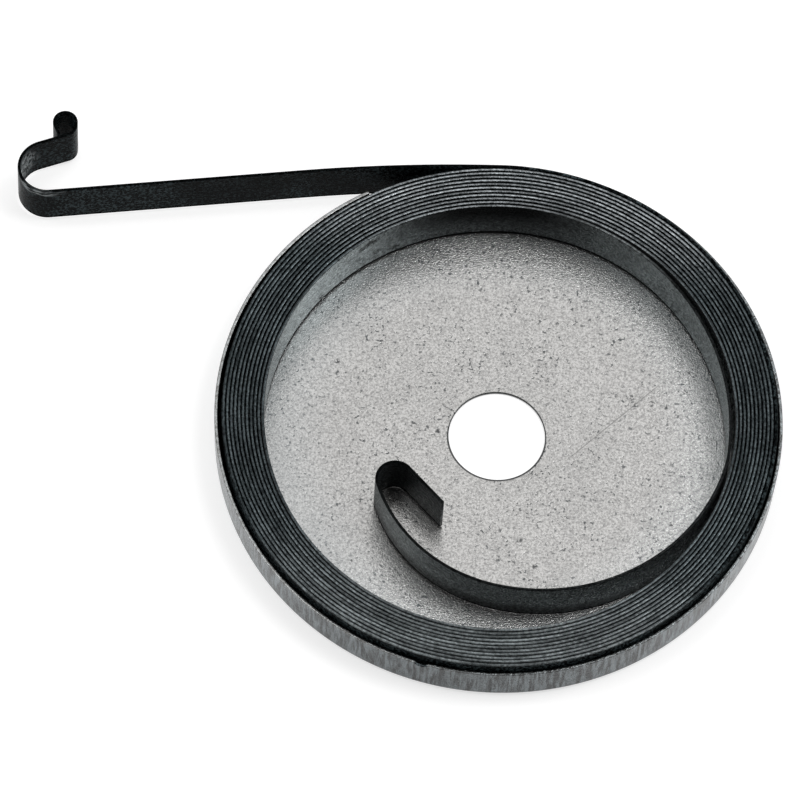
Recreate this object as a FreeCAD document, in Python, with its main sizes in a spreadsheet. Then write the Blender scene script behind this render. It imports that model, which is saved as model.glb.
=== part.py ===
import FreeCAD, Part
import math
import os

import Sketcher

# Recoil starter spring packed in its pressed steel cup, in millimetres.
# The origin is the centre of the cup's hole on its underside, with +Z up.
# The strip lies on edge: its thickness is in plan and its width stands up.
# Seen from above it winds clockwise inwards, from the long outer tail at
# the back, round the coil, to the inner tail with the hub hook.

SIZES = [
    # The pressed cup
    ("rim_radius", 41.0, "outside of the cup at its rim"),
    ("wall_height", 7.1, "underside to rim"),
    ("sheet_thickness", 0.5, "steel sheet of the cup"),
    ("wall_flare", 0.1, "how far the wall leans out from floor to rim"),
    ("corner_radius", 0.7, "inside bend between floor and wall"),
    ("hole_radius", 7.0, "central hole"),
    ("slot_first_angle", 96.0, "wall slot edge nearest the coil's back"),
    ("slot_last_angle", 123.0, "wall slot edge nearest the hairpin"),
    ("slot_overrun", 2.0, "cutter beyond both faces of the wall"),
    ("nick_place", -7.7, "small nick in the rim, along X"),
    ("nick_width", 1.4, "nick along the rim"),
    ("nick_depth", 0.6, "nick below the rim"),
    # The strip
    ("strip_width", 8.0, "height of the strip on edge"),
    ("strip_thickness", 0.45, "thickness of the strip"),
    ("front_clearance", 0.1, "outermost turn to the foot of the wall, at the front"),
    ("back_clearance", 0.3, "outermost turn to the foot of the wall, at the back"),
    ("seat_gap", 0.03, "strip edge above the bend that carries it"),
    # The coil, looser at the back than at the front
    ("turns", 11, "full turns of the coil"),
    ("back_gap", 0.145, "between turns at the back"),
    ("front_gap", 0.093, "between turns at the front"),
    # The outer tail, from the coil outwards
    ("leave_sweep", 4.85, "still round with the coil, in degrees"),
    ("lead_radius", 248.0, "gentle bend out through the slot"),
    ("lead_sweep", 6.7, "turn of the gentle bend"),
    ("lead_length", 37.15, "straight run to the hairpin"),
    ("hairpin_radius", 4.08, "hairpin bend on the strip's middle"),
    ("hairpin_sweep", 166.7, "turn of the hairpin"),
    ("return_length", 4.62, "short leg back to the eye"),
    ("eye_radius", 1.6, "rolled eye on the strip's middle"),
    ("eye_rise_sweep", 68.0, "turn up from the short leg"),
    ("eye_side_length", 0.55, "straight side of the eye"),
    ("eye_sweep", 205.0, "turn over the top of the eye and down"),
    ("eye_end_length", 1.45, "straight end that nearly closes the eye"),
    # The inner tail, from the coil inwards
    ("first_radius", 32.5, "part way from the innermost turn"),
    ("first_sweep", 45.2, "turn of that arc"),
    ("second_radius", 35.8, "down the right side, beside the coil"),
    ("second_sweep", 46.7, "turn of that arc"),
    ("third_radius", 16.0, "short bend away from the coil"),
    ("third_sweep", 10.5, "turn of that arc"),
    ("fourth_radius", 28.2, "across the front of the floor"),
    ("fourth_sweep", 84.9, "turn of that arc"),
    ("fifth_radius", 22.8, "up the left side to the hook"),
    ("fifth_sweep", 60.8, "turn of that arc"),
    ("hook_radius", 2.66, "hub hook on the strip's middle"),
    ("hook_sweep", 154.8, "turn of the hook"),
    ("hook_length", 7.3, "straight leg of the hook"),
]

ORIGIN = -1
Y_AXIS = -2
START, END, CENTRE = 1, 2, 3
HALF_STRIP = "Sizes.strip_thickness / 2"
STRIP_ROOM = ("(Sizes.rim_radius - Sizes.wall_flare - Sizes.sheet_thickness"
              " - Sizes.strip_thickness / 2)")
STRIP_SEAT = ("Sizes.sheet_thickness + Sizes.seat_gap + Sizes.corner_radius"
              " - sqrt(pow(Sizes.corner_radius; 2)"
              " - pow(max(Sizes.corner_radius - Sizes.front_clearance; 0); 2))")

document = FreeCAD.newDocument("RecoilStarterSpring")
sheet = document.addObject("Spreadsheet::Sheet", "Sizes")


def fill_sheet():
    """Write each driving size as a plain number with an alias and a note."""
    for row, (alias, value, note) in enumerate(SIZES, start=1):
        sheet.set(f"A{row}", alias)
        sheet.set(f"B{row}", str(value))
        sheet.set(f"C{row}", note)
        sheet.setAlias(f"B{row}", alias)
    document.recompute()


def number(expression):
    """The present value of an expression on the sheet, as a plain number."""
    value = sheet.evalExpression(expression)
    return float(getattr(value, "Value", value))


def back_middle(turn):
    """Distance from the origin to the strip's middle at the back."""
    pitch = "(Sizes.strip_thickness + Sizes.back_gap)"
    return f"({STRIP_ROOM} - Sizes.back_clearance - {turn} * {pitch})"


def front_middle(turn):
    """Distance from the origin to the strip's middle at the front."""
    pitch = "(Sizes.strip_thickness + Sizes.front_gap)"
    return f"({STRIP_ROOM} - Sizes.front_clearance - {turn} * {pitch})"


def origin_plane(body, role):
    """One of the body's own origin planes."""
    for feature in body.Origin.OriginFeatures:
        if feature.Role == role:
            return feature
    raise ValueError(role)


def new_sketch(body, name, role, height="0"):
    """A sketch on an origin plane of its body, lifted by an expression."""
    sketch = body.newObject("Sketcher::SketchObject", name)
    sketch.AttachmentSupport = [(origin_plane(body, role), "")]
    sketch.MapMode = "FlatFace"
    sketch.setExpression("AttachmentOffset.Base.z", height)
    return sketch


class Outline:
    """A closed outline of lines and arcs whose sizes follow the sheet."""

    def __init__(self, sketch):
        self.sketch = sketch
        self.shapes = []
        self.rules = []
        self.bound = []

    def add(self, shape):
        self.shapes.append(shape)
        return len(self.shapes) - 1

    def rule(self, *parts):
        self.rules.append(Sketcher.Constraint(*parts))

    def size(self, expression, kind, *parts):
        """A dimension that the sheet drives."""
        value = number(expression)
        if kind == "Angle":
            value = math.radians(value)
        self.bound.append((len(self.rules), expression))
        self.rules.append(Sketcher.Constraint(kind, *parts, value))

    def finish(self):
        self.sketch.addGeometry(self.shapes, False)
        self.sketch.addConstraint(self.rules)
        for index, expression in self.bound:
            self.sketch.setExpression(f"Constraints[{index}]", expression)

    def line(self, first, last):
        return self.add(Part.LineSegment(FreeCAD.Vector(*first, 0), FreeCAD.Vector(*last, 0)))

    def polygon(self, points):
        """Straight sides through the points, closed, with joined ends."""
        sides = [self.line(points[i], points[(i + 1) % len(points)]) for i in range(len(points))]
        for i, side in enumerate(sides):
            self.rule("Coincident", side, END, sides[(i + 1) % len(sides)], START)
        return sides

    def corner_at(self, side, across, up):
        """Tie the first end of a side to its place from the origin."""
        self.size(across, "DistanceX", ORIGIN, START, side, START)
        self.size(up, "DistanceY", ORIGIN, START, side, START)


class Edge:
    """One long edge of the strip in plan, drawn bend by bend."""

    def __init__(self, outline, middle, heading, side):
        self.outline = outline
        self.side = side
        self.heading = math.radians(heading)
        self.offset = side * number(HALF_STRIP)
        # The strip starts square across the Y axis.
        self.start_rule = f"{middle} + {side * round(math.cos(self.heading))} * {HALF_STRIP}"
        self.point = FreeCAD.Vector(0, number(self.start_rule), 0)
        self.last = None
        self.first = None

    def join(self, shape, start, end):
        """Tie a new piece of the edge to the one before it."""
        if self.last is None:
            self.first = (shape, start)
            self.outline.rule("PointOnObject", shape, start, Y_AXIS)
            self.outline.size(self.start_rule, "DistanceY", ORIGIN, START, shape, start)
            self.outline.rule("PointOnObject", shape, CENTRE, Y_AXIS)
        else:
            self.outline.rule("Tangent", *self.last, shape, start)
        self.last = (shape, end)

    def draw_arc(self, radius, sweep):
        """Add an arc from the present point and return its index and ends."""
        turn = 1 if sweep > 0 else -1
        to_centre = FreeCAD.Vector(-math.sin(self.heading), math.cos(self.heading), 0) * turn
        centre = self.point + to_centre * radius
        begin = math.atan2(-to_centre.y, -to_centre.x)
        finish = begin + math.radians(sweep)
        circle = Part.Circle(centre, FreeCAD.Vector(0, 0, 1), radius)
        if turn > 0:
            arc = Part.ArcOfCircle(circle, begin, finish)
            ends = (START, END)
        else:
            arc = Part.ArcOfCircle(circle, finish, begin)
            ends = (END, START)
        index = self.outline.add(arc)
        self.point = centre + FreeCAD.Vector(math.cos(finish), math.sin(finish), 0) * radius
        self.heading += math.radians(sweep)
        return index, ends

    def bend(self, radius, sweep, turn):
        """A bend of named radius and sweep, left (1) or right (-1)."""
        edge_radius = f"{radius} - {turn * self.side} * {HALF_STRIP}"
        index, ends = self.draw_arc(number(edge_radius), turn * number(sweep))
        self.join(index, *ends)
        self.outline.size(edge_radius, "Radius", index)
        self.outline.size(sweep, "Angle", index)

    def run(self, length):
        """A straight run of named length."""
        ahead = FreeCAD.Vector(math.cos(self.heading), math.sin(self.heading), 0)
        target = self.point + ahead * number(length)
        index = self.outline.line((self.point.x, self.point.y), (target.x, target.y))
        self.point = target
        self.join(index, START, END)
        self.outline.size(length, "Distance", index)

    def half_turn(self, radius):
        """Half a turn of the coil, from the Y axis back to the Y axis."""
        edge_radius = f"{radius} + {self.side} * {HALF_STRIP}"
        index, ends = self.draw_arc(number(edge_radius), -180.0)
        start, end = ends
        if self.last is None:
            self.first = (index, start)
            self.outline.rule("PointOnObject", index, start, Y_AXIS)
            self.outline.size(self.start_rule, "DistanceY", ORIGIN, START, index, start)
        else:
            self.outline.rule("Coincident", *self.last, index, start)
        self.outline.rule("PointOnObject", index, CENTRE, Y_AXIS)
        self.outline.rule("PointOnObject", index, end, Y_AXIS)
        self.outline.size(edge_radius, "Radius", index)
        self.last = (index, end)


def cap(outline, one, other):
    """Close the strip's outline across its thickness."""
    ends = []
    for index, place in (one, other):
        shape = outline.shapes[index]
        point = shape.StartPoint if place == START else shape.EndPoint
        ends.append((point.x, point.y))
    index = outline.line(*ends)
    outline.rule("Coincident", index, START, *one)
    outline.rule("Coincident", index, END, *other)


def strip_pad(body, name, middle, heading, draw):
    """Pad one stretch of the strip from its outline to its full width."""
    sketch = new_sketch(body, name + "_outline", "XY_Plane", STRIP_SEAT)
    outline = Outline(sketch)
    edges = [Edge(outline, middle, heading, side) for side in (1, -1)]
    for edge in edges:
        draw(edge)
    cap(outline, edges[0].first, edges[1].first)
    cap(outline, edges[0].last, edges[1].last)
    outline.finish()
    pad = body.newObject("PartDesign::Pad", name)
    pad.Profile = sketch
    pad.setExpression("Length", "Sizes.strip_width")
    pad.Refine = False
    document.recompute()


def draw_coil(edge):
    """The packed turns: half circles that meet on the Y axis."""
    for turn in range(int(number("Sizes.turns"))):
        right = f"({back_middle(turn)} + {front_middle(turn)}) / 2"
        left = f"({front_middle(turn)} + {back_middle(turn + 1)}) / 2"
        edge.half_turn(right)
        edge.half_turn(left)


def draw_outer_tail(edge):
    """Out through the slot, along to the hairpin, and back to the eye."""
    edge.bend(back_middle(0), "Sizes.leave_sweep", 1)
    edge.bend("Sizes.lead_radius", "Sizes.lead_sweep", 1)
    edge.run("Sizes.lead_length")
    edge.bend("Sizes.hairpin_radius", "Sizes.hairpin_sweep", -1)
    edge.run("Sizes.return_length")
    edge.bend("Sizes.eye_radius", "Sizes.eye_rise_sweep", 1)
    edge.run("Sizes.eye_side_length")
    edge.bend("Sizes.eye_radius", "Sizes.eye_sweep", 1)
    edge.run("Sizes.eye_end_length")


def draw_inner_tail(edge):
    """Off the innermost turn, round the floor, and into the hub hook."""
    for place in ("first", "second", "third", "fourth", "fifth", "hook"):
        edge.bend(f"Sizes.{place}_radius", f"Sizes.{place}_sweep", -1)
    edge.run("Sizes.hook_length")


def make_spring():
    """One blued steel strip: the coil, the outer tail and the inner tail."""
    body = document.addObject("PartDesign::Body", "RecoilSpring")
    body.Label = "recoil_spring"
    inner_end = back_middle(int(number("Sizes.turns")))
    strip_pad(body, "coil", back_middle(0), 0, draw_coil)
    strip_pad(body, "outer_tail", back_middle(0), 180, draw_outer_tail)
    strip_pad(body, "inner_tail", inner_end, 0, draw_inner_tail)
    return body


def revolve_section(body):
    """The cup's section, floor and leaning wall, turned about Z."""
    sketch = new_sketch(body, "cup_section", "XZ_Plane")
    outline = Outline(sketch)
    foot = "Sizes.rim_radius - Sizes.wall_flare"
    corners = [
        ("Sizes.hole_radius", "0"),
        (foot, "0"),
        ("Sizes.rim_radius", "Sizes.wall_height"),
        ("Sizes.rim_radius - Sizes.sheet_thickness", "Sizes.wall_height"),
        (foot + " - Sizes.sheet_thickness", "Sizes.sheet_thickness"),
        ("Sizes.hole_radius", "Sizes.sheet_thickness"),
    ]
    sides = outline.polygon([(number(across), number(up)) for across, up in corners])
    for side, (across, up) in zip(sides, corners):
        outline.corner_at(side, across, up)
    outline.finish()
    turned = body.newObject("PartDesign::Revolution", "cup_turned")
    turned.Profile = sketch
    turned.ReferenceAxis = (sketch, ["V_Axis"])
    turned.Angle = 360
    document.recompute()
    return turned


def ring_edge(shape, radius, height):
    """The name of the round edge of given radius and height."""
    for index, edge in enumerate(shape.Edges, start=1):
        curve = edge.Curve
        if not isinstance(curve, Part.Circle):
            continue
        if abs(curve.Radius - radius) < 1e-4 and abs(curve.Center.z - height) < 1e-4:
            return f"Edge{index}"
    raise ValueError("no ring edge")


def bend_corner(body, name, base, radius, height, bend):
    """Round one of the two ring edges between floor and wall."""
    fillet = body.newObject("PartDesign::Fillet", name)
    fillet.Base = (base, [ring_edge(base.Shape, number(radius), number(height))])
    fillet.setExpression("Radius", bend)
    document.recompute()
    return fillet


def cut_slot(body):
    """Cut the wall open, down to the floor, where the outer tail leaves."""
    sketch = new_sketch(body, "slot_outline", "XY_Plane", "Sizes.sheet_thickness")
    outline = Outline(sketch)
    inner = "Sizes.rim_radius - Sizes.wall_flare - Sizes.sheet_thickness - Sizes.slot_overrun"
    outer = "Sizes.rim_radius + Sizes.slot_overrun"
    radii = (inner, outer)
    angles = ("Sizes.slot_first_angle", "Sizes.slot_last_angle")
    first, last = [math.radians(number(angle)) for angle in angles]
    arcs = []
    for radius in radii:
        circle = Part.Circle(FreeCAD.Vector(0, 0, 0), FreeCAD.Vector(0, 0, 1), number(radius))
        index = outline.add(Part.ArcOfCircle(circle, first, last))
        outline.rule("Coincident", index, CENTRE, ORIGIN, START)
        outline.size(radius, "Radius", index)
        arcs.append(index)
    for place, angle in zip((START, END), angles):
        turn = math.radians(number(angle))
        ends = [(number(r) * math.cos(turn), number(r) * math.sin(turn)) for r in radii]
        side = outline.line(*ends)
        outline.rule("Coincident", side, START, arcs[0], place)
        outline.rule("Coincident", side, END, arcs[1], place)
        outline.rule("PointOnObject", ORIGIN, START, side)
        outline.size(angle, "Angle", side)
    outline.finish()
    pocket = body.newObject("PartDesign::Pocket", "wall_slot")
    pocket.Profile = sketch
    pocket.setExpression("Length", "Sizes.wall_height")
    pocket.Reversed = True
    document.recompute()
    return pocket


def cut_nick(body):
    """A small nick knocked into the rim at the front."""
    sketch = new_sketch(body, "nick_outline", "XZ_Plane")
    outline = Outline(sketch)
    left = "Sizes.nick_place - Sizes.nick_width / 2"
    right = "Sizes.nick_place + Sizes.nick_width / 2"
    low = "Sizes.wall_height - Sizes.nick_depth"
    high = "Sizes.wall_height + Sizes.nick_depth"
    corners = [(left, low), (right, low), (right, high), (left, high)]
    sides = outline.polygon([(number(across), number(up)) for across, up in corners])
    for side, (across, up) in zip(sides, corners):
        outline.corner_at(side, across, up)
    outline.finish()
    pocket = body.newObject("PartDesign::Pocket", "rim_nick")
    pocket.Profile = sketch
    pocket.setExpression("Length", "Sizes.rim_radius + Sizes.slot_overrun")
    pocket.Reversed = True
    document.recompute()
    return pocket


def must_cut(before, after):
    """A cut that removes nothing points away from the metal."""
    if after.Shape.Volume > before.Shape.Volume - 1e-3:
        raise ValueError(f"{after.Name} cuts nothing")


def make_cup():
    """The cup: one pressed sheet with a hole, a wall slot and a rim nick."""
    body = document.addObject("PartDesign::Body", "SpringCup")
    body.Label = "spring_cup"
    turned = revolve_section(body)
    foot = "Sizes.rim_radius - Sizes.wall_flare"
    outside = bend_corner(body, "outside_bend", turned, foot, "0",
                          "Sizes.corner_radius + Sizes.sheet_thickness")
    inside = bend_corner(body, "inside_bend", outside, foot + " - Sizes.sheet_thickness",
                         "Sizes.sheet_thickness", "Sizes.corner_radius")
    slotted = cut_slot(body)
    must_cut(inside, slotted)
    nicked = cut_nick(body)
    must_cut(slotted, nicked)
    return body


def write_parts(bodies):
    """Check every object, then write each body's solid to its own file."""
    for item in document.Objects:
        if "Invalid" in item.State or "Error" in item.State:
            raise ValueError(f"{item.Name} failed to build")
    for body in bodies:
        shape = body.Shape
        if shape.isNull() or not shape.isValid() or len(shape.Solids) != 1:
            raise ValueError(f"{body.Label} isn't one valid solid")
    os.makedirs("parts", exist_ok=True)
    for body in bodies:
        body.Shape.exportStep(f"parts/{body.Label}.step")
        print(body.Label, round(body.Shape.Volume, 2), body.Shape.BoundBox)


fill_sheet()
write_parts([make_cup(), make_spring()])
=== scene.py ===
import math

import bmesh
import bpy
from mathutils import Matrix, Vector


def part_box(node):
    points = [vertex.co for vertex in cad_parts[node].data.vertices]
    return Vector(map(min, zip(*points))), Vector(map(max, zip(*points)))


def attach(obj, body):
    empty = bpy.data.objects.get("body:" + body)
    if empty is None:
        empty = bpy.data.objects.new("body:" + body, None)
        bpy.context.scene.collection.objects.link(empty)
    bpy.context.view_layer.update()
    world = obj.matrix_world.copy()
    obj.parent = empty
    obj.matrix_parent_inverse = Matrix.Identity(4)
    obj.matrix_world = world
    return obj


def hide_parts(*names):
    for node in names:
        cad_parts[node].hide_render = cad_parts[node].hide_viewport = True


bl_info = {
    "name": "Recoil Starter Spring",
    "version": (1, 0, 0),
    "blender": (4, 5, 0),
    "location": "3D View > Sidebar > Recoil Spring",
    "description": "A flat recoil starter spring packed in its pressed cup",
    "category": "Add Mesh",
}

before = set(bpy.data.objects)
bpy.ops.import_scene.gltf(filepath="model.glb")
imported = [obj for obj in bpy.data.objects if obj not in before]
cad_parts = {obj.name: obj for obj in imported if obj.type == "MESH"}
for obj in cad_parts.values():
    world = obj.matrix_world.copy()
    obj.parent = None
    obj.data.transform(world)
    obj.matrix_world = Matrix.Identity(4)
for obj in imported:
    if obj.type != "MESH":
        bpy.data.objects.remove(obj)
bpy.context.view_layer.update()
CUP_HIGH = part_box("spring_cup")[1]
STRIP_LOW, STRIP_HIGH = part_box("recoil_spring")
MM = 0.001


# Sizes and colours

def length(name, description, millimetres):
    """A length property whose default is given in millimetres."""
    return bpy.props.FloatProperty(
        name=name, description=description, default=millimetres * MM,
        unit="LENGTH", subtype="DISTANCE", precision=5)


def turn_angle(name, description, degrees):
    """An angle property whose default is given in degrees."""
    return bpy.props.FloatProperty(
        name=name, description=description, default=math.radians(degrees),
        unit="ROTATION", subtype="ANGLE")


def shade(name, description, rgb):
    """A colour property."""
    return bpy.props.FloatVectorProperty(
        name=name, description=description, default=rgb, size=3,
        min=0.0, max=1.0, subtype="COLOR")


class CupSizes(bpy.types.PropertyGroup):
    rim_radius: length("Rim radius", "Outside of the cup at its rim", CUP_HIGH[0] / MM)
    wall_height: length("Wall height", "Underside to rim", CUP_HIGH[2] / MM)
    sheet: length("Sheet", "Thickness of the steel sheet", 0.5)
    flare: length("Wall flare", "How far the wall leans out", 0.1)
    corner: length("Corner radius", "Inside bend between floor and wall", 0.7)
    hole_radius: length("Hole radius", "Central hole", 7.0)
    edge_round: length("Edge rounding", "Softening of the sheet's cut edges", 0.12)
    slot_first: turn_angle("Slot start", "Wall slot edge behind the coil", 96)
    slot_last: turn_angle("Slot end", "Wall slot edge nearest the hairpin", 123)
    nick_angle: turn_angle("Nick place", "Small nick in the rim", 259.2)
    nick_width: length("Nick width", "Nick along the rim", 1.4)
    nick_depth: length("Nick depth", "Nick below the rim", 0.6)
    zinc: shade("Zinc", "Colour of the zinc plating", (0.49, 0.485, 0.475))
    # The wall's zinc is set far darker than the floor's: painted shade.
    shaded_wall_zinc: shade("Drawn zinc", "Colour of the wall where the press drew it", (0.090, 0.104, 0.110))
    # The hole's dark ring is painted shade on the rolled cut edge.
    hole_edge_shade: shade("Cut edge", "Colour of the hole's cut edge", (0.03, 0.032, 0.033))


class StripSizes(bpy.types.PropertyGroup):
    width: length("Width", "Height of the strip on edge", (STRIP_HIGH[2] - STRIP_LOW[2]) / MM)
    seat: length("Seat", "Strip's lower edge above the underside", STRIP_LOW[2] / MM)
    thickness: length("Thickness", "Thickness of the strip", 0.45)
    edge_round: length("Edge rounding", "Rounding of the strip's upper edges", 0.17)
    foot_round: length("Foot rounding", "Rounding of the strip's lower edges", 0.05)
    back_start: length("Back start", "Middle of the outermost turn at the back", 39.875)
    front_start: length("Front start", "Middle of the outermost turn at the front", 40.075)
    back_pitch: length("Back pitch", "From turn to turn at the back", 0.595)
    front_pitch: length("Front pitch", "From turn to turn at the front", 0.543)
    turns: bpy.props.IntProperty(name="Turns", description="Full turns of the coil", default=11)
    blued: shade("Blued face", "Colour of the blued faces", (0.0092, 0.0122, 0.0131))
    # The inner faces' colour is partly rubbing and partly a painted sheen, far lighter than the blued
    # faces.
    rubbed: shade("Rubbed face", "Colour of the inner faces, rubbed by the hub", (0.104, 0.1125, 0.115))
    # The back edges' colour is wear with a painted highlight.
    bare_edge: shade("Bare edge", "Colour of the worn long edges at the back", (0.235, 0.252, 0.262))
    dull_edge: shade("Dull edge", "Colour of the less worn long edges", (0.054, 0.065, 0.069))
    # The front edges' colour is wear with painted light, which also lights the tops of the gaps between
    # turns.
    scraped_edge_and_gap_light: shade("Scraped edge", "Colour of the long edges at the front", (0.155, 0.173, 0.178))


class StageSizes(bpy.types.PropertyGroup):
    table_side: length("Table side", "Side of the white table", 4000)
    camera_from: bpy.props.FloatVectorProperty(
        name="Camera place", description="Where the camera stands",
        default=(0.0, -0.46824, 0.95693), size=3, subtype="XYZ", unit="LENGTH")
    camera_pitch: turn_angle("Camera pitch", "Below the horizon", 63.70144)
    camera_yaw: turn_angle("Camera yaw", "To the left of +Y", 1.75891)
    camera_roll: turn_angle("Camera roll", "Clockwise lean of the camera", 4.23067)
    lens: bpy.props.FloatProperty(
        name="Lens", description="Focal length on a 36 mm sensor", default=330.7005)
    table: shade("Table", "Colour of the table", (0.55, 0.55, 0.55))


# Bends and runs of the two tails: radius or length in mm, and a bend's sweep in degrees.
# A sweep above zero turns left, and one below zero turns right.

OUTER_TAIL = [
    ("bend", 39.875, 4.85),
    ("bend", 248.0, 6.7),
    ("run", 37.15),
    ("bend", 4.08, -166.7),
    ("run", 4.62),
    ("bend", 1.6, 68.0),
    ("run", 0.55),
    ("bend", 1.6, 205.0),
    ("run", 1.45),
]
INNER_TAIL = [
    ("bend", 32.5, -45.2),
    ("bend", 35.8, -46.7),
    ("bend", 16.0, -10.5),
    ("bend", 28.2, -84.9),
    ("bend", 22.8, -60.8),
    ("bend", 2.66, -154.8),
    ("run", 7.3),
]
# A bend is made in steps: how many at least, and how far each may turn and reach.
LEAST_STEPS = 6
STEP_DEGREES = 3
STEP_REACH = 3 * MM
# Points nearer than this are joined where two stretches meet.
WELD = 0.01 * MM
# The cup's points round its axis, and the steps of the bend at its wall's foot.
ROUND_POINTS = 360
FOOT_STEPS = 7

# Each face of the strip knows how bare its upper edge is and how rubbed it is; the rubbed faces are
# lighter partly from rubbing and partly from a painted sheen.
# A pair gives the two ends of a half turn of the coil.
BARE_LAYER = "bare_edge"
RUBBED_SHEEN_LAYER = "rubbed_face"
BARE = (1.0, 1.0)
OUTERMOST_RIGHT = (0.4, 0.4)
OUTERMOST_LEFT = (0.4, 1.0)
FACES_RUBBED_SHEEN = (1.0, 1.0)
FACES_BLUED = (0.0, 0.0)
# The same for the ends of each stretch of the inner tail.
TAIL_BARE = (1, 0, 0, 0, 0, 0, 0, 0)
TAIL_RUBBED_SHEEN = (1, 1, 1, 1, 1, 0.42, 0.1, 0.3)


# Modelling helpers

def start_piece(name):
    """Name the new primitive and open it in edit mode."""
    piece = bpy.context.object
    piece.name = name
    piece.data.name = name
    bpy.ops.object.transform_apply(location=True, rotation=True, scale=True)
    bpy.ops.object.mode_set(mode="EDIT")
    return piece


def select_where(piece, kind, test):
    """In edit mode, select only the vertices or faces that pass."""
    mesh = bmesh.from_edit_mesh(piece.data)
    for item in [*mesh.verts, *mesh.edges, *mesh.faces]:
        item.select = False
    for item in getattr(mesh, kind):
        if test(item):
            item.select_set(True)
    mesh.select_flush_mode()
    bmesh.update_edit_mesh(piece.data)


def apply_modifier(piece, kind, **settings):
    """Add a modifier, set it up and apply it."""
    modifier = piece.modifiers.new(kind.title(), kind)
    for key, value in settings.items():
        setattr(modifier, key, value)
    bpy.ops.object.modifier_apply(modifier=modifier.name)


def finish_piece(piece, node, material):
    """Shade the piece, give it its finish and tie it to its CAD node."""
    bpy.ops.object.shade_smooth()
    apply_modifier(piece, "WEIGHTED_NORMAL", mode="FACE_AREA", weight=100)
    piece.data.materials.clear()
    piece.data.materials.append(material)
    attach(piece, "root")
    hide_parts(node)


# Materials

# Colours of the marks that lie on the two finishes; some of them are painted shade.
SPECK = (0.07, 0.075, 0.078)
SPOT = (0.05, 0.052, 0.054)
FLOOR_SHADE_ZINC = (0.37, 0.42, 0.44)
HAIRPIN_STREAK = (0.5, 0.54, 0.55)
OXIDE_AND_FOOT_SHADE = (0.001, 0.0012, 0.0012)

# Stretches over which a finish changes, each from one place to another in mm.
# The cup's, outwards from the axis.
FLOOR_SHADE_REACH = (22, 33)
ROUGH_FLOOR = (22, 32)
# The cup's, along X.
ROUGH_RIGHT = (-25, -8)
WALL_SIDES = (12, 36)
RIM_HIGHLIGHT_SIDE = (5, -30)
# The cup's, along Y, outwards from the rim's radius, and upwards from its height.
ACROSS_HOLE = (-3, 3)
DRAWN_BEND = (-2.2, -1.2)
RIM_EDGE = (-0.22, -0.08)
# The strip's, along Y.
COIL_FRONT = (-18, -37)
COIL_BACK = (21, 36)
INNER_BACK = (10, 24)
TAIL_FRONT = (-6, -14)
# The strip's, outwards from the axis, and upwards from the underside, its top and its foot.
OUTER_TURNS = (28, 44)
BACK_SHADE_RISE = (1.5, 7.5)
TAIL_SHADE_RISE = (1.5, 5)
GAP_LIGHT_TOP = (-0.7, -0.25)
FOOT_SHADE_RISE = (0.3, 0.45)
# The painted shade at the back of the inner wall: how far left its middle is, and its fade.
BACK_SHADE_MIDDLE = 4 * MM
BACK_SHADE_SIDES = (4, 19)
# How wide the painted shade along the hole's cut edge shows at the front and at the back.
HOLE_SHADE_FRONT = 0.3 * MM
HOLE_SHADE_BACK = 0.14 * MM

# Scratches on the cup's floor: both ends and half width in mm, and strength.
SCRATCHES = [
    ((9.2, -4.1), (24.3, 12.6), 0.13, 0.85),
    ((-20.6, -13.6), (-17.4, -10.9), 0.12, 0.6),
]
# Lighter streaked patches at the hairpin: place and radius in mm, the patch's stretch and the lines'.
HAIRPIN_STREAKS = [
    ((-73.0, 33.2, 5.2), 3.8, (1, 1, 1), (1, 1, 0.45)),
    ((-70.2, 28.4, 8.3), 1.3, (0.28, 0.6, 1), (0.2, 0.5, 1)),
]
# Dark ragged spots on the cup's floor: place and radius in mm, and how far they fray.
SPOTS = [
    ((-8.55, -0.16), 0.35),
    ((26.27, -11.22), 0.3),
    ((7.36, -20.23), 0.32),
    ((18.9, 8.3), 0.42),
    ((19.6, 7.1), 0.36),
    ((21.9, 7.7), 0.4),
    ((23.9, 7.4), 0.34),
    ((26.18, 6.05), 0.34),
    ((-24.23, 9.47), 0.34),
    ((-2.6, 12.75), 0.36),
    ((4.69, -16.22), 0.38),
    ((-19.15, -22.26), 0.32),
]
SPOT_FRAY = 1.6
# Dark scuffs on the inner wall of the coil: place and radius in mm.
SCUFFS = [
    ((-22.4, 24.6, 6.9), 0.85),
    ((-21.7, 25.2, 7.0), 0.8),
    ((-21.2, 25.6, 7.5), 0.9),
    ((-20.5, 26.1, 7.3), 1.0),
    ((-20.3, 26.3, 3.5), 0.8),
    ((-27.6, 18.8, 2.0), 0.7),
    ((-17.6, 28.1, 2.2), 0.9),
]


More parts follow.
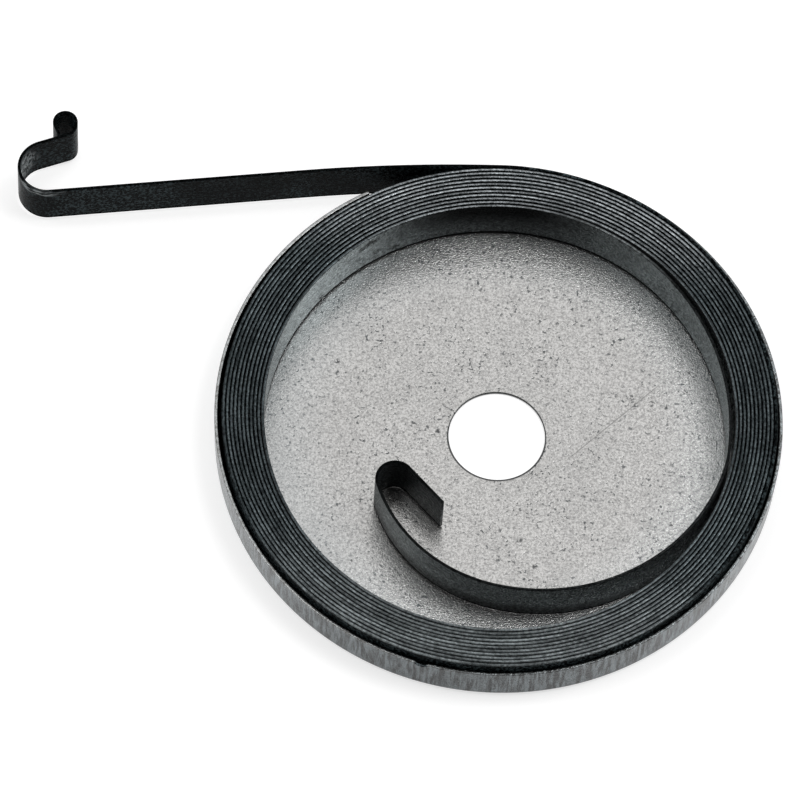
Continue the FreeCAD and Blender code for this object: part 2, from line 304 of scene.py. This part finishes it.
class Finish:
    """A material's node tree, built row by row."""

    def __init__(self, name):
        self.material = bpy.data.materials.new(name)
        self.material.use_nodes = True
        self.tree = self.material.node_tree
        self.shader = self.tree.nodes["Principled BSDF"]
        self.place = self.node("ShaderNodeTexCoord").outputs["Object"]

    def node(self, kind, **settings):
        """Add a node and set it up."""
        made = self.tree.nodes.new(kind)
        for key, value in settings.items():
            setattr(made, key, value)
        return made

    def link(self, source, target):
        self.tree.links.new(source, target)

    def feed(self, socket, value):
        """Link a socket to an output, or set it to a plain value."""
        if isinstance(value, bpy.types.NodeSocket):
            self.link(value, socket)
        else:
            socket.default_value = value

    def set(self, socket, value):
        """Feed one of the shader's own sockets."""
        self.feed(self.shader.inputs[socket], value)

    def split(self, vector):
        """The three numbers of a vector."""
        made = self.node("ShaderNodeSeparateXYZ")
        self.link(vector, made.inputs[0])
        return made.outputs

    def stretched(self, scale):
        """Object coordinates stretched by a scale."""
        made = self.node("ShaderNodeMapping")
        self.link(self.place, made.inputs["Vector"])
        made.inputs["Scale"].default_value = scale
        return made.outputs["Vector"]

    def layer(self, name):
        """One of the mesh's own number layers."""
        made = self.node("ShaderNodeAttribute", attribute_name=name)
        return made.outputs["Fac"]

    def math(self, operation, first, second=0.0, clamp=False):
        made = self.node("ShaderNodeMath", operation=operation, use_clamp=clamp)
        self.feed(made.inputs[0], first)
        self.feed(made.inputs[1], second)
        return made.outputs[0]

    def times(self, first, *others):
        """The product of two or more numbers."""
        for other in others:
            first = self.math("MULTIPLY", first, other)
        return first

    def most(self, first, *others):
        """The largest of two or more numbers."""
        for other in others:
            first = self.math("MAXIMUM", first, other)
        return first

    def rest(self, share):
        """What is left of one."""
        return self.math("SUBTRACT", 1.0, share)

    def from_axis(self):
        """Distance from the coil's axis."""
        x, y, z = self.split(self.place)
        return self.math("SQRT", self.math("ADD", self.times(x, x), self.times(y, y)))

    def noise(self, scale, detail=2.0, rough=0.5, vector=None):
        made = self.node("ShaderNodeTexNoise")
        self.link(vector or self.place, made.inputs["Vector"])
        made.inputs["Scale"].default_value = scale
        made.inputs["Detail"].default_value = detail
        made.inputs["Roughness"].default_value = rough
        return made.outputs["Fac"]

    def remap(self, value, low, high, to_low=0.0, to_high=1.0):
        """Carry one range over to another, with soft ends."""
        made = self.node("ShaderNodeMapRange", interpolation_type="SMOOTHSTEP")
        self.link(value, made.inputs["Value"])
        made.inputs["From Min"].default_value = low
        made.inputs["From Max"].default_value = high
        made.inputs["To Min"].default_value = to_low
        made.inputs["To Max"].default_value = to_high
        return made.outputs["Result"]

    def fade(self, place, stretch, first=0.0, last=1.0, start=0.0):
        """A soft change along a stretch given in mm, counted from a start in metres."""
        low, high = stretch
        return self.remap(place, start + low * MM, start + high * MM, first, last)

    def mix(self, factor, first, second):
        """Blend two colours."""
        made = self.node("ShaderNodeMix", data_type="RGBA")
        self.feed(made.inputs[0], factor)
        for socket, value in ((made.inputs[6], first), (made.inputs[7], second)):
            self.feed(socket, (*value, 1.0) if isinstance(value, tuple) else value)
        return made.outputs[2]

    def mix_number(self, factor, first, second):
        """Blend two numbers."""
        made = self.node("ShaderNodeMix", data_type="FLOAT")
        for index, value in ((0, factor), (2, first), (3, second)):
            self.feed(made.inputs[index], value)
        return made.outputs[0]

    def scale(self, colour, factor):
        """A colour made lighter or darker by a number."""
        made = self.node("ShaderNodeVectorMath", operation="SCALE")
        self.link(colour, made.inputs[0])
        self.feed(made.inputs["Scale"], factor)
        return made.outputs[0]

    def bump(self, height, distance, strength=1.0, below=None):
        made = self.node("ShaderNodeBump")
        made.inputs["Strength"].default_value = strength
        made.inputs["Distance"].default_value = distance
        self.link(height, made.inputs["Height"])
        if below:
            self.link(below, made.inputs["Normal"])
        return made.outputs["Normal"]

    def mark(self, place, radius, stretch=(1, 1, 1), core=0.4):
        """A soft round patch, one at its core and nothing past its radius, all in mm."""
        made = self.node("ShaderNodeVectorMath", operation="DISTANCE")
        self.link(self.stretched(stretch), made.inputs[0])
        made.inputs[1].default_value = [p * s * MM for p, s in zip(place, stretch)]
        return self.fade(made.outputs["Value"], (radius * core, radius), 1, 0)

    def scratch(self, start, end, width, strength):
        """A thin straight scratch on the cup's floor, between two places in mm."""
        (x0, y0), (x1, y1) = start, end
        size = math.hypot(x1 - x0, y1 - y0)
        ahead_x = (x1 - x0) / size
        ahead_y = (y1 - y0) / size
        x, y, z = self.split(self.place)
        along = self.math("ADD", self.times(x, ahead_x), self.times(y, ahead_y))
        aside = self.math("SUBTRACT", self.times(y, ahead_x), self.times(x, ahead_y))
        line = (y0 * ahead_x - x0 * ahead_y) * MM
        middle = ((x0 + x1) * ahead_x + (y0 + y1) * ahead_y) / 2 * MM
        from_line = self.math("ABSOLUTE", self.math("SUBTRACT", aside, line))
        from_middle = self.math("ABSOLUTE", self.math("SUBTRACT", along, middle))
        thin = self.fade(from_line, (0, width), strength, 0)
        inside = self.fade(from_middle, (size * 0.3, size * 0.5), 1, 0)
        return self.times(thin, inside)


def tint(colour, factor):
    """A colour made lighter or darker."""
    return tuple(min(1.0, c * factor) for c in colour)


def plated_floor(finish, sizes, out, coarse, specks):
    """The cup's floor: zinc grain with specks, strokes, scratches and spots."""
    grain = finish.noise(3300, 3, 0.7)
    cloud = finish.noise(110, 3, 0.55)
    strokes = finish.remap(finish.noise(1000, 3, 0.7), 0.29, 0.34, 0.9, 0)
    dark = tint(sizes.zinc, 0.5)
    floor = finish.mix(finish.remap(grain, 0.3, 0.66), tint(sizes.zinc, 0.54), tint(sizes.zinc, 1.08))
    floor = finish.mix(finish.remap(coarse, 0.52, 0.75, 0, 0.3), floor, dark)
    floor = finish.mix(finish.remap(cloud, 0.4, 0.7, 0, 0.15), floor, dark)
    floor = finish.mix(finish.most(specks, strokes), floor, SPECK)
    # The floor is a little darker and bluer towards the coil's inner wall: painted shade.
    floor = finish.mix(finish.fade(out, FLOOR_SHADE_REACH, 0, 0.2), floor, FLOOR_SHADE_ZINC)
    for line in SCRATCHES:
        floor = finish.mix(finish.scratch(*line), floor, tint(sizes.zinc, 0.35))
    ragged = finish.remap(finish.noise(2300, 3, 0.7), 0.44, 0.54, 0.95, 0)
    for place, radius in SPOTS:
        spot = finish.mark((*place, sizes.sheet / MM), radius * SPOT_FRAY, core=0.5)
        floor = finish.mix(finish.times(spot, ragged), floor, SPOT)
    return floor


def drawn_wall(finish, sizes):
    """The cup's wall: zinc painted darker than the floor as painted shade, darker in its middle, with
    upright streaks and a painted highlight along the rim that is strongest on the left.
    """
    x, y, z = finish.split(finish.place)
    streaks = finish.noise(1900, 3, 0.7, finish.stretched((1, 1, 0.1)))
    blotch = finish.noise(500, 3, 0.65, finish.stretched((1, 1, 0.3)))
    wall = finish.mix(finish.remap(streaks, 0.37, 0.62), tint(sizes.shaded_wall_zinc, 0.1),
                      tint(sizes.shaded_wall_zinc, 1.95))
    wall = finish.mix(finish.remap(blotch, 0.44, 0.66, 0, 0.45), wall, tint(sizes.shaded_wall_zinc, 0.35))
    # The wall is darker in its middle and lighter towards the sides.
    wall = finish.scale(wall, finish.fade(finish.math("ABSOLUTE", x), WALL_SIDES, 0.75, 1.15))
    # Painted highlight along the rim's top edge, strongest on the left.
    rim = finish.fade(z, RIM_EDGE, start=sizes.wall_height)
    rim = finish.times(rim, finish.fade(x, RIM_HIGHLIGHT_SIDE, 0.14, 0.4))
    rim = finish.times(rim, finish.remap(streaks, 0.35, 0.55, 0.7, 1))
    return finish.mix(rim, wall, tint(sizes.zinc, 1.3))


def zinc_plating(sizes):
    """Satin zinc with coarse grain, specks and scratches; painted shade darkens the wall, the hole's edge
    and the floor near the coil, and a painted highlight lines the rim.
    """
    finish = Finish("zinc plated sheet")
    x, y, z = finish.split(finish.place)
    out = finish.from_axis()
    coarse = finish.noise(2500, 2, 0.6)
    gather = finish.remap(finish.noise(230, 2, 0.5), 0.42, 0.62, 0.4, 0.95)
    specks = finish.remap(finish.noise(1900, 2, 0.5), 0.35, 0.4, 1, 0)
    specks = finish.times(specks, gather)
    floor = plated_floor(finish, sizes, out, coarse, specks)
    wall = drawn_wall(finish, sizes)
    sheet = finish.mix(finish.fade(out, DRAWN_BEND, start=sizes.rim_radius), floor, wall)
    # Painted shade: a dark ring round the hole, wider at the front.
    hole_shade_width = finish.fade(y, ACROSS_HOLE, HOLE_SHADE_FRONT, HOLE_SHADE_BACK)
    cut = finish.math("LESS_THAN", finish.math("SUBTRACT", out, sizes.hole_radius), hole_shade_width)
    finish.set("Base Color", finish.mix(finish.times(cut, 0.9), sheet, sizes.hole_edge_shade[:]))
    finish.set("Metallic", 0.9)
    finish.set("Roughness", finish.remap(coarse, 0.2, 0.8, 0.18, 0.28))
    # The sheet is rougher towards the drawn bend, and smoother at the left.
    rough = finish.times(finish.fade(out, ROUGH_FLOOR, 0.6, 1.7), finish.fade(x, ROUGH_RIGHT, 0.45, 1))
    peel = finish.times(finish.noise(4200, 2, 0.6), rough)
    bump = finish.bump(peel, 0.00006, 0.8)
    finish.set("Normal", finish.bump(specks, -0.00004, 0.5, bump))
    return finish.material


def edge_wear_and_light(finish, sizes, up, bare, mottle, front):
    """Where the coil's upper edges are worn to grey steel; at the front the whole rounding and the tops
    of the gaps are lit too, as painted light.
    """
    x, y, z = finish.split(finish.place)
    fuzz = finish.times(finish.math("SUBTRACT", mottle, 0.5), 0.5)
    ragged_up = finish.math("ADD", up, fuzz)
    upper = finish.mix_number(front, finish.remap(ragged_up, 0.72, 0.96),
                              finish.remap(ragged_up, 0.05, 0.5))
    # Painted light: at the front, the faces just below the top are lit down into the gaps.
    gap_light = finish.times(finish.fade(z, GAP_LIGHT_TOP, start=sizes.seat + sizes.width), front,
                           finish.remap(bare, 0.6, 1.0, 0, 0.85))
    # The outermost turn stays blued, but for its front.
    worn_front = finish.times(finish.math("MULTIPLY", bare, 2.5, True), front)
    worn_lit = finish.math("ADD", finish.remap(bare, 0.4, 1.0), worn_front, True)
    return finish.times(finish.most(upper, gap_light), worn_lit)


def turn_wear(finish):
    """How each turn is worn a little differently along its way."""
    x, y, z = finish.split(finish.place)
    own = finish.node("ShaderNodeCombineXYZ")
    for socket, value, scale in zip(own.inputs, (x, y, finish.from_axis()), (110, 110, 1500)):
        finish.link(finish.times(value, scale), socket)
    return finish.remap(finish.noise(1, 3, 0.65, own.outputs[0]), 0.3, 0.7, 0.45, 1.35)


def unshaded_cleanness(finish, mottle):
    """How much of the rubbed faces' colour shows: painted shade darkens the middle of the back wall
    towards its top and the tail's front towards its foot, and scuffs darken spots.
    """
    x, y, z = finish.split(finish.place)
    beside = finish.math("ABSOLUTE", finish.math("ADD", x, BACK_SHADE_MIDDLE))
    # Painted shade: the middle of the back wall is darker towards its top.
    back_shade = finish.times(finish.fade(beside, BACK_SHADE_SIDES, 1, 0), finish.fade(z, BACK_SHADE_RISE, 0.3, 0.97),
                        finish.fade(y, INNER_BACK))
    # Painted shade: the tail's front is darker towards its foot.
    tail = finish.mix_number(finish.fade(y, TAIL_FRONT), 1.0, finish.fade(z, TAIL_SHADE_RISE, 0.3, 1))
    clean_and_unshaded = finish.times(finish.rest(back_shade), tail)
    speckled = finish.remap(mottle, 0.44, 0.58, 1, 0.3)
    for place, radius in SCUFFS:
        scuff = finish.times(finish.mark(place, radius), speckled)
        clean_and_unshaded = finish.times(clean_and_unshaded, finish.rest(scuff))
    return clean_and_unshaded


def blued_steel(sizes):
    """Dark blued faces, with the coil's upper edges worn to grey steel; painted light brightens the edges
    at the back and front, a painted sheen and painted shade tone the inner faces, and painted shade
    blackens the foot.
    """
    finish = Finish("blued strip steel")
    x, y, z = finish.split(finish.place)
    normal = finish.node("ShaderNodeNewGeometry").outputs["Normal"]
    up = finish.split(normal)[2]
    bare = finish.layer(BARE_LAYER)
    rubbed = finish.layer(RUBBED_SHEEN_LAYER)
    mottle = finish.noise(1900, 3, 0.75)
    grain = finish.noise(2400, 2, 0.6)
    patches = finish.noise(110, 3, 0.6)
    front = finish.fade(y, COIL_FRONT)
    back = finish.fade(y, COIL_BACK)
    edge = edge_wear_and_light(finish, sizes, up, bare, mottle, front)
    clean_and_unshaded = unshaded_cleanness(finish, mottle)
    # The blued faces are darker in the coil than on the tail.
    blued = finish.mix(finish.remap(grain, 0.44, 0.64), tint(sizes.blued, 0.2), tint(sizes.blued, 7.8))
    blued = finish.mix(finish.remap(patches, 0.4, 0.6, 0, 0.6), blued, tint(sizes.blued, 0.1))
    blued = finish.scale(blued, finish.fade(finish.from_axis(), OUTER_TURNS, 0.35, 1))
    # The inner faces' lighter colour is partly rubbing and partly painted sheen.
    inner = finish.mix(finish.remap(mottle, 0.36, 0.64), tint(sizes.rubbed, 0.35),
                       tint(sizes.rubbed, 1.75))
    inner = finish.mix(finish.remap(patches, 0.45, 0.7, 0, 0.5), inner, tint(sizes.rubbed, 1.7))
    face = finish.mix(rubbed, blued, finish.scale(inner, clean_and_unshaded))
    for place, radius, stretch, drawn_out in HAIRPIN_STREAKS:
        lines = finish.remap(finish.noise(2400, 2, 0.6, finish.stretched(drawn_out)), 0.42, 0.62)
        face = finish.mix(finish.times(finish.mark(place, radius, stretch), lines), face, HAIRPIN_STREAK)
    # The tails' upper edges stay black; all the lower edges and the strip's foot are blackened too, as
    # painted shade.
    unworn = finish.rest(finish.math("MULTIPLY", bare, 3, True))
    top = finish.times(finish.remap(up, 0.25, 0.8), unworn)
    foot_shade = finish.most(finish.remap(up, -0.05, -0.3), finish.fade(z, FOOT_SHADE_RISE, 1, 0, start=sizes.seat))
    face = finish.mix(finish.times(finish.most(top, foot_shade), 0.92), face, OXIDE_AND_FOOT_SHADE)
    # The edges are brightest at the back, a painted highlight, and lighter at the front, painted light;
    # the sides keep the dull colour.
    worn_lit = finish.mix(back, sizes.dull_edge[:], sizes.bare_edge[:])
    worn_lit = finish.mix(front, worn_lit, sizes.scraped_edge_and_gap_light[:])
    worn_lit = finish.scale(worn_lit, finish.times(turn_wear(finish), finish.remap(mottle, 0.3, 0.7, 0.45, 1.55)))
    finish.set("Base Color", finish.mix(edge, face, worn_lit))
    # The front edges are less metallic than the rest, and the rubbed faces with their painted sheen are
    # more metallic where they are clean and not painted shaded.
    shine = finish.times(edge, finish.remap(front, 0, 1, 0.9, 0.45))
    polish = finish.times(finish.remap(clean_and_unshaded, 0, 1, 0.15, 1), finish.remap(mottle, 0.36, 0.64, 0.68, 1))
    polish = finish.times(polish, finish.remap(patches, 0.4, 0.65, 0.85, 1))
    polish = finish.times(polish, rubbed, finish.rest(finish.most(edge, foot_shade)))
    finish.set("Metallic", finish.most(shine, polish))
    finish.set("Roughness", finish.mix_number(foot_shade, finish.remap(grain, 0.25, 0.75, 0.22, 0.34), 1.0))
    finish.set("IOR", 1.06)
    finish.set("Specular Tint", (0.94, 0.99, 1.0, 1.0))
    finish.set("Normal", finish.bump(mottle, 0.00006, 0.8))
    return finish.material


# How much brighter the table looks to the camera and in reflections.
TABLE_LIFT = 0.66


def white_table(colour):
    """A white matte table that stays pale where the camera sees it."""
    finish = Finish("white table")
    finish.set("Base Color", (*colour, 1.0))
    finish.set("Roughness", 0.9)
    finish.set("Specular IOR Level", 0.1)
    rays = finish.node("ShaderNodeLightPath").outputs
    seen = finish.most(rays["Is Camera Ray"], rays["Is Glossy Ray"], rays["Is Transmission Ray"])
    lift = finish.node("ShaderNodeEmission")
    lift.inputs["Color"].default_value = (1, 1, 1, 1)
    finish.link(finish.times(seen, TABLE_LIFT), lift.inputs["Strength"])
    both = finish.node("ShaderNodeAddShader")
    finish.link(finish.shader.outputs[0], both.inputs[0])
    finish.link(lift.outputs[0], both.inputs[1])
    finish.link(both.outputs[0], finish.tree.nodes["Material Output"].inputs["Surface"])
    return finish.material


# The spring

class StripPath:
    """A chain of bends and runs, each one the strip's section carried along."""

    def __init__(self, sizes, place, heading):
        self.sizes = sizes
        self.place = Vector(place)
        self.heading = heading
        self.pieces = []

    def open_section(self):
        """Lay the strip's rounded section square across the path."""
        self.start = self.place.copy()
        bpy.ops.object.select_all(action="DESELECT")
        bpy.ops.mesh.primitive_plane_add(
            size=1, location=self.place, rotation=(0, math.pi / 2, self.heading))
        bpy.context.object.scale = (self.sizes.width, self.sizes.thickness, 1)
        self.pieces.append(start_piece("strip_stretch"))
        # Only the section's corners lie this far above or below its middle.
        corner = self.sizes.width * 0.49
        for side, rounding in ((1, self.sizes.edge_round), (-1, self.sizes.foot_round)):
            select_where(self.pieces[-1], "verts", lambda v: side * (v.co.z - self.place.z) > corner)
            bpy.ops.mesh.bevel(offset=rounding, offset_type="OFFSET", segments=4, affect="VERTICES")
        bpy.ops.mesh.select_all(action="SELECT")
        bpy.ops.mesh.delete(type="ONLY_FACE")
        bpy.ops.mesh.select_all(action="SELECT")

    def bend(self, radius, sweep):
        """Spin the section round a bend; a sweep above zero turns left."""
        self.open_section()
        side = 1 if sweep > 0 else -1
        across = Vector((-math.sin(self.heading), math.cos(self.heading), 0))
        centre = self.place + side * radius * across
        by_angle = math.ceil(math.degrees(abs(sweep)) / STEP_DEGREES)
        by_reach = math.ceil(abs(sweep) * radius / STEP_REACH)
        # The spin operator turns clockwise for an angle above zero.
        bpy.ops.mesh.spin(
            steps=max(LEAST_STEPS, by_angle, by_reach), angle=-sweep, center=centre, axis=(0, 0, 1))
        self.place = centre + Matrix.Rotation(sweep, 3, "Z") @ (self.place - centre)
        self.heading += sweep

    def run(self, distance):
        """Draw the section straight on."""
        self.open_section()
        ahead = distance * Vector((math.cos(self.heading), math.sin(self.heading), 0))
        bpy.ops.mesh.extrude_region_move(TRANSFORM_OT_translate={"value": ahead})
        self.place += ahead

    def close_stretch(self, bare, rubbed):
        """Leave edit mode, and grade the wear and painted sheen from the stretch's start to its end."""
        bpy.ops.object.mode_set(mode="OBJECT")
        mesh = self.pieces[-1].data
        whole = (self.place - self.start).length
        for name, (first, last) in ((BARE_LAYER, bare), (RUBBED_SHEEN_LAYER, rubbed)):
            layer = mesh.attributes.new(name, "FLOAT", "FACE")
            for row, face in zip(layer.data, mesh.polygons):
                share = min(1.0, (face.center - self.start).length / whole)
                row.value = first + (last - first) * share

    def follow(self, bends, bare, rubbed):
        """Follow a list of bends and runs, and close the strip's cut end."""
        for index, (kind, size, *sweep) in enumerate(bends):
            if kind == "bend":
                self.bend(size * MM, math.radians(sweep[0]))
            else:
                self.run(size * MM)
            if index == len(bends) - 1:
                bpy.ops.mesh.edge_face_add()
            self.close_stretch(bare[index:index + 2], rubbed[index:index + 2])


class RECOIL_OT_wind_spring(bpy.types.Operator):
    """Wind the strip into its coil and form its two tails"""
    bl_idname = "recoil.wind_spring"
    bl_label = "Wind Spring"

    def execute(self, context):
        sizes = context.scene.recoil_strip
        start = (0, sizes.back_start, sizes.seat + sizes.width / 2)
        coil = StripPath(sizes, start, 0)
        for turn in range(sizes.turns):
            back = sizes.back_start - turn * sizes.back_pitch
            front = sizes.front_start - turn * sizes.front_pitch
            rubbed = FACES_RUBBED_SHEEN if turn == sizes.turns - 1 else FACES_BLUED
            coil.bend((back + front) / 2, -math.pi)
            coil.close_stretch(BARE if turn else OUTERMOST_RIGHT, rubbed)
            coil.bend((front + back - sizes.back_pitch) / 2, -math.pi)
            coil.close_stretch(BARE if turn else OUTERMOST_LEFT, rubbed)
        coil.follow(INNER_TAIL, TAIL_BARE, TAIL_RUBBED_SHEEN)
        tail = StripPath(sizes, start, math.pi)
        blank = (0.0,) * (len(OUTER_TAIL) + 1)
        tail.follow(OUTER_TAIL, blank, blank)
        bpy.ops.object.select_all(action="DESELECT")
        for stretch in coil.pieces + tail.pieces:
            stretch.select_set(True)
        piece = coil.pieces[0]
        context.view_layer.objects.active = piece
        bpy.ops.object.join()
        piece.name = "recoil_strip"
        piece.data.name = "recoil_strip"
        bpy.ops.object.mode_set(mode="EDIT")
        bpy.ops.mesh.select_all(action="SELECT")
        bpy.ops.mesh.remove_doubles(threshold=WELD)
        bpy.ops.mesh.normals_make_consistent(inside=False)
        bpy.ops.object.mode_set(mode="OBJECT")
        finish_piece(piece, "recoil_spring", blued_steel(sizes))
        return {"FINISHED"}


# The cup

def cup_rings(sizes):
    """Radius and height of each ring of the cup's underside, from the floor to the rim."""
    bend = sizes.corner + sizes.sheet
    foot = sizes.rim_radius - sizes.flare
    rings = [(sizes.hole_radius * 2, 0.0), (foot - bend * 2, 0.0), (foot - bend, 0.0)]
    for step in range(1, FOOT_STEPS + 1):
        angle = math.radians(90 * step / FOOT_STEPS)
        rings.append((foot - bend + bend * math.sin(angle), bend * (1 - math.cos(angle))))
    # The wall leans out from its foot to the rim.
    rings.append((sizes.rim_radius - sizes.flare / 3, sizes.wall_height * 0.7))
    rings.append((sizes.rim_radius, sizes.wall_height))
    return rings


class RECOIL_OT_press_cup(bpy.types.Operator):
    """Press the cup from a flat sheet with a hole"""
    bl_idname = "recoil.press_cup"
    bl_label = "Press Cup"

    def execute(self, context):
        sizes = context.scene.recoil_cup
        bpy.ops.object.select_all(action="DESELECT")
        bpy.ops.mesh.primitive_circle_add(vertices=ROUND_POINTS, radius=sizes.hole_radius)
        piece = start_piece("pressed_cup")
        bpy.ops.mesh.select_all(action="SELECT")
        radius, height = sizes.hole_radius, 0.0
        for next_radius, next_height in cup_rings(sizes):
            bpy.ops.mesh.extrude_region_move(
                TRANSFORM_OT_translate={"value": (0, 0, next_height - height)})
            grow = next_radius / radius
            bpy.ops.transform.resize(value=(grow, grow, 1), center_override=(0, 0, next_height))
            radius, height = next_radius, next_height
        first, last = math.degrees(sizes.slot_first), math.degrees(sizes.slot_last)

        def in_slot(face):
            middle = face.calc_center_median()
            around = math.degrees(math.atan2(middle.y, middle.x))
            return middle.z > sizes.sheet and first < around < last

        select_where(piece, "faces", in_slot)
        bpy.ops.mesh.delete(type="FACE")
        nick = Vector((math.cos(sizes.nick_angle), math.sin(sizes.nick_angle))) * sizes.rim_radius

        def in_nick(vertex):
            on_rim = vertex.co.z > sizes.wall_height - 0.01 * MM
            return on_rim and (vertex.co.xy - nick).length < sizes.nick_width / 2

        select_where(piece, "verts", in_nick)
        bpy.ops.transform.translate(value=(0, 0, -sizes.nick_depth))
        bpy.ops.mesh.select_all(action="SELECT")
        bpy.ops.mesh.normals_make_consistent(inside=False)
        bpy.ops.object.mode_set(mode="OBJECT")
        if piece.data.polygons[0].normal.z > 0:
            piece.data.flip_normals()
        apply_modifier(piece, "SOLIDIFY", thickness=sizes.sheet, offset=-1, use_even_offset=True)
        apply_modifier(piece, "BEVEL", width=sizes.edge_round, segments=3,
                       limit_method="ANGLE", angle_limit=math.radians(60))
        finish_piece(piece, "spring_cup", zinc_plating(sizes))
        return {"FINISHED"}


# The stage

# Each soft light: name, place, width and height in metres, and brightness.
LIGHTS = [
    ("back_softbox", (0.0, 0.60, 1.20), (1.3, 1.2), 0.95),
    ("right_softbox", (0.64, 0.12, 1.20), (0.55, 0.7), 5.8),
    ("left_softbox", (-0.66, -0.06, 1.20), (0.5, 0.7), 3.0),
]
# The room is darker on the camera's side: its brightness there, behind, and where it changes.
SKY_FRONT = 0.12
SKY_BACK = 0.34
SKY_TURNS_FROM = -0.5
SKY_TURNS_TO = 0.3
SENSOR_WIDTH = 36


def soft_light(name, place, sides, brightness):
    """A rectangular soft light that looks at the spring."""
    data = bpy.data.lights.new(name, "AREA")
    data.shape = "RECTANGLE"
    data.size, data.size_y = sides
    data.energy = brightness * math.pi * sides[0] * sides[1]
    lamp = bpy.data.objects.new(name, data)
    bpy.context.collection.objects.link(lamp)
    lamp.location = place
    lamp.rotation_euler = (-Vector(place)).to_track_quat("-Z", "Y").to_euler()


def light_room(world):
    """Fill the room with soft white light that fades towards the camera's side."""
    world.use_nodes = True
    make = world.node_tree.nodes.new
    link = world.node_tree.links.new
    sky = world.node_tree.nodes["Background"]
    sky.inputs["Color"].default_value = (1, 1, 1, 1)
    way = make("ShaderNodeTexCoord")
    parts = make("ShaderNodeSeparateXYZ")
    fade = make("ShaderNodeMapRange")
    fade.inputs["From Min"].default_value = SKY_TURNS_FROM
    fade.inputs["From Max"].default_value = SKY_TURNS_TO
    fade.inputs["To Min"].default_value = SKY_FRONT
    fade.inputs["To Max"].default_value = SKY_BACK
    link(way.outputs["Generated"], parts.inputs[0])
    link(parts.outputs[1], fade.inputs["Value"])
    link(fade.outputs["Result"], sky.inputs["Strength"])


def place_camera(context, sizes):
    """Stand the camera where the photograph was taken from."""
    data = bpy.data.cameras.new("camera")
    data.sensor_width = SENSOR_WIDTH
    data.lens = sizes.lens
    data.clip_start = 0.01
    camera = bpy.data.objects.new("camera", data)
    context.collection.objects.link(camera)
    camera.location = sizes.camera_from
    turn = (Matrix.Rotation(sizes.camera_yaw, 3, "Z")
            @ Matrix.Rotation(math.pi / 2 - sizes.camera_pitch, 3, "X")
            @ Matrix.Rotation(sizes.camera_roll, 3, "Z"))
    camera.rotation_euler = turn.to_euler()
    context.scene.camera = camera


class RECOIL_OT_set_stage(bpy.types.Operator):
    """Set the white table, the soft lights and the camera"""
    bl_idname = "recoil.set_stage"
    bl_label = "Set Stage"

    def execute(self, context):
        sizes = context.scene.recoil_stage
        bpy.ops.object.select_all(action="DESELECT")
        bpy.ops.mesh.primitive_plane_add(size=sizes.table_side, location=(0, 0, 0))
        table = context.object
        table.name = "table"
        table.data.materials.append(white_table(sizes.table[:]))
        for light in LIGHTS:
            soft_light(*light)
        context.scene.world = context.scene.world or bpy.data.worlds.new("studio")
        light_room(context.scene.world)
        place_camera(context, sizes)
        context.scene.view_settings.view_transform = "Standard"
        return {"FINISHED"}


class RECOIL_PT_panel(bpy.types.Panel):
    """Builds the recoil spring piece by piece"""
    bl_idname = "RECOIL_PT_panel"
    bl_label = "Recoil Spring"
    bl_space_type = "VIEW_3D"
    bl_region_type = "UI"
    bl_category = "Recoil Spring"

    def draw(self, context):
        for operator in (RECOIL_OT_press_cup, RECOIL_OT_wind_spring, RECOIL_OT_set_stage):
            self.layout.operator(operator.bl_idname)
        for group in (context.scene.recoil_cup, context.scene.recoil_strip, context.scene.recoil_stage):
            column = self.layout.column()
            for name in group.bl_rna.properties.keys():
                if name not in ("name", "rna_type"):
                    column.prop(group, name)


CLASSES = (CupSizes, StripSizes, StageSizes, RECOIL_OT_press_cup, RECOIL_OT_wind_spring,
           RECOIL_OT_set_stage, RECOIL_PT_panel)


def register():
    for item in CLASSES:
        bpy.utils.register_class(item)
    bpy.types.Scene.recoil_cup = bpy.props.PointerProperty(type=CupSizes)
    bpy.types.Scene.recoil_strip = bpy.props.PointerProperty(type=StripSizes)
    bpy.types.Scene.recoil_stage = bpy.props.PointerProperty(type=StageSizes)


def unregister():
    del bpy.types.Scene.recoil_stage
    del bpy.types.Scene.recoil_strip
    del bpy.types.Scene.recoil_cup
    for item in reversed(CLASSES):
        bpy.utils.unregister_class(item)


def main():
    register()
    bpy.ops.recoil.press_cup()
    bpy.ops.recoil.wind_spring()
    bpy.ops.recoil.set_stage()


if __name__ == "__main__":
    main()
